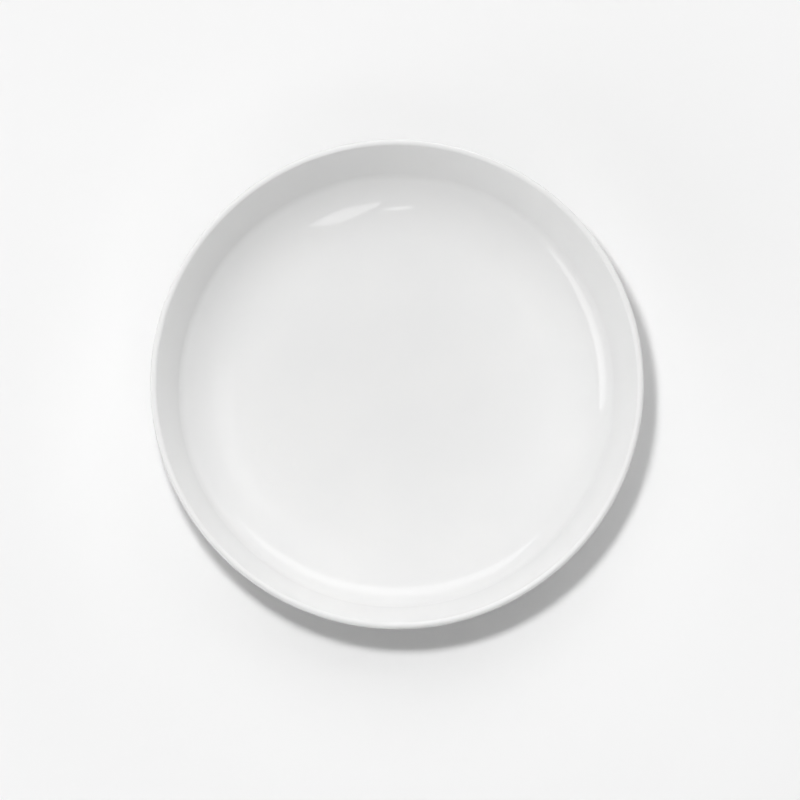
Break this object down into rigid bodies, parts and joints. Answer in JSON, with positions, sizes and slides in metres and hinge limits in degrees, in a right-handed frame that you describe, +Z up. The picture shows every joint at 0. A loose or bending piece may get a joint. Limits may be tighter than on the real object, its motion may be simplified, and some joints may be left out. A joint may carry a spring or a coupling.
{
  "type": "deep plate",
  "caption": "Round deep plate of white glazed porcelain with a flat well, a soft inside curve, a steep wall, a rounded lip and a bare foot ring, for serving soup or pasta.",
  "frame": {"origin": "on the table under the middle of the plate", "axes": "+Z up along the axis of the turned plate, +X and +Y level"},
  "size_m": [0.22, 0.22, 0.048],
  "materials": {
    "bare_porcelain": "unglazed white porcelain, fine matte",
    "clear_glaze": "white gloss glaze"
  },
  "bodies": {
    "root": {"porcelain_body": "bare_porcelain", "glaze_coat": "clear_glaze", "foot_recess_glaze": "clear_glaze"}
  },
  "joints": []
}
